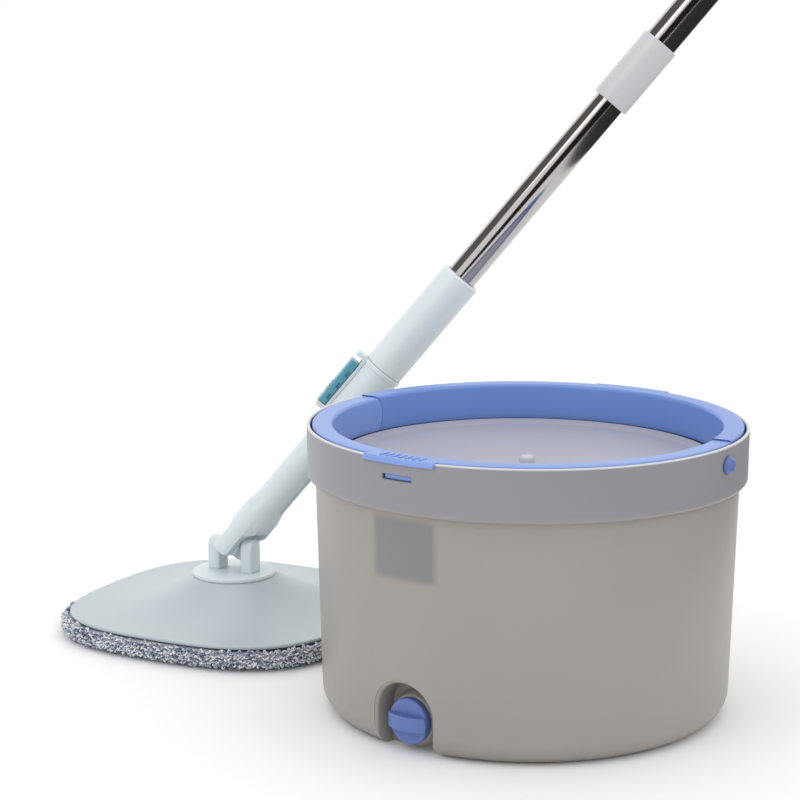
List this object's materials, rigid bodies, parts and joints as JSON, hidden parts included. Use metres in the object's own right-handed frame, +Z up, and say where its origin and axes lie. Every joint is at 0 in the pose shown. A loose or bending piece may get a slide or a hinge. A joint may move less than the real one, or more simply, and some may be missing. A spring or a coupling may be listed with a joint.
{
  "type": "spin mop",
  "caption": "Flat spin mop with a tilting head and telescopic push-to-spin pole, beside its round bucket with spinning tray, folding handle and drain knob.",
  "frame": {"origin": "centre of the bucket's base, on the floor", "axes": "+Z up; the drain knob and the handle's grip tab face about -Y, and the mop stands to -X and +Y of the bucket with its pole leaning to +X"},
  "size_m": [0.8661, 0.4611, 0.9362],
  "materials": {
    "bucket_shell": "satin translucent",
    "rim_ring": "satin",
    "carry_handle": "satin",
    "pivot_pin_right": "satin",
    "pivot_pin_left": "satin",
    "latch_guard": "satin",
    "centre_post": "satin",
    "hub_axle": "ground",
    "thrust_washer": "smooth",
    "drain_seal": "soft",
    "spin_tray": "satin",
    "hub_bush": "smooth",
    "hub_cap": "smooth",
    "drain_knob": "satin",
    "mop_pad": "looped microfibre",
    "head_plate": "satin",
    "clevis_mount": "satin",
    "ear_pin": "drawn",
    "cross_block": "satin",
    "fork_pin_front": "drawn",
    "fork_pin_rear": "drawn",
    "neck": "satin",
    "drive_spindle": "drawn and twisted",
    "press_ring": "smooth",
    "lock_housing": "satin",
    "lock_slider": "gloss",
    "sleeve": "satin",
    "tube_adapter": "plain",
    "drive_nut": "plain",
    "inner_tube": "polished",
    "collet": "plain",
    "tube_collar": "satin",
    "outer_tube": "polished",
    "hand_grip": "soft",
    "end_cap": "satin",
    "mount_screw_1": "zinc plated",
    "mount_screw_2": "zinc plated",
    "mount_screw_3": "zinc plated",
    "mount_screw_4": "zinc plated"
  },
  "bodies": {
    "bucket": {"bucket_shell": "bucket_shell", "rim_ring": "rim_ring", "pivot_pin_right": "pivot_pin_right", "pivot_pin_left": "pivot_pin_left", "latch_guard": "latch_guard", "centre_post": "centre_post", "hub_axle": "hub_axle", "thrust_washer": "thrust_washer", "drain_seal": "drain_seal"},
    "carry_handle": {"carry_handle": "carry_handle"},
    "tray": {"spin_tray": "spin_tray", "hub_bush": "hub_bush", "hub_cap": "hub_cap"},
    "drain_knob": {"drain_knob": "drain_knob"},
    "mop_head": {"mop_pad": "mop_pad", "head_plate": "head_plate", "clevis_mount": "clevis_mount", "ear_pin": "ear_pin", "mount_screw_1": "mount_screw_1", "mount_screw_2": "mount_screw_2", "mount_screw_3": "mount_screw_3", "mount_screw_4": "mount_screw_4"},
    "tilt_block": {"cross_block": "cross_block", "fork_pin_front": "fork_pin_front", "fork_pin_rear": "fork_pin_rear"},
    "neck": {"neck": "neck", "drive_spindle": "drive_spindle"},
    "press_ring": {"press_ring": "press_ring"},
    "lower_handle": {"lock_housing": "lock_housing", "sleeve": "sleeve", "tube_adapter": "tube_adapter", "drive_nut": "drive_nut", "inner_tube": "inner_tube"},
    "lock_slider": {"lock_slider": "lock_slider"},
    "upper_handle": {"collet": "collet", "outer_tube": "outer_tube", "hand_grip": "hand_grip", "end_cap": "end_cap"},
    "tube_collar": {"tube_collar": "tube_collar"}
  },
  "joints": [
    {"name": "handle_lift", "type": "hinge", "parent": "bucket", "child": "carry_handle", "pos_m": [0, 0, 0.186], "axis": [-0.866, 0.5, 0], "range_deg": [0, 90]},
    {"name": "tray_spin", "type": "hinge", "parent": "bucket", "child": "tray", "pos_m": [0, 0, 0.1664], "axis": [0, 0, 1], "continuous": true},
    {"name": "drain_knob_turn", "type": "hinge", "parent": "bucket", "child": "drain_knob", "pos_m": [-0.07269, -0.10777, 0.0205], "axis": [-0.5592, -0.829, 0], "range_deg": [0, 90]},
    {"name": "mop_lift", "type": "slide", "parent": "bucket", "child": "mop_head", "axis": [0, 0, 1], "range_m": [0, 0.45]},
    {"name": "head_pitch", "type": "hinge", "parent": "mop_head", "child": "tilt_block", "pos_m": [-0.22605, 0.17846, 0.0617], "axis": [0.9107, -0.4131, 0], "range_deg": [-11, 43]},
    {"name": "head_roll", "type": "hinge", "parent": "tilt_block", "child": "neck", "pos_m": [-0.22605, 0.17846, 0.0617], "axis": [0.3847, 0.8481, -0.3644], "range_deg": [-71, 2.5]},
    {"name": "pole_press", "type": "slide", "parent": "neck", "child": "press_ring", "axis": [0.6405, 0.039, 0.767], "range_m": [-0.075, 0]},
    {"name": "pole_spin", "type": "hinge", "parent": "press_ring", "child": "lower_handle", "pos_m": [-0.22605, 0.17846, 0.0617], "axis": [0.6405, 0.039, 0.767], "range_deg": [-270.5, 0.5]},
    {"name": "slider_push", "type": "slide", "parent": "lower_handle", "child": "lock_slider", "axis": [0.6405, 0.039, 0.767], "range_m": [0, 0.0044]},
    {"name": "pole_extend", "type": "slide", "parent": "lower_handle", "child": "upper_handle", "axis": [0.6405, 0.039, 0.767], "range_m": [-0.145, 0.18]},
    {"name": "collar_turn", "type": "hinge", "parent": "upper_handle", "child": "tube_collar", "pos_m": [-0.22605, 0.17846, 0.0617], "axis": [0.6405, 0.039, 0.767], "range_deg": [0, 90]}
  ],
  "couplings": [
    {"joint": "pole_spin", "follows": "pole_press", "rad_per_m": 62.832}
  ]
}
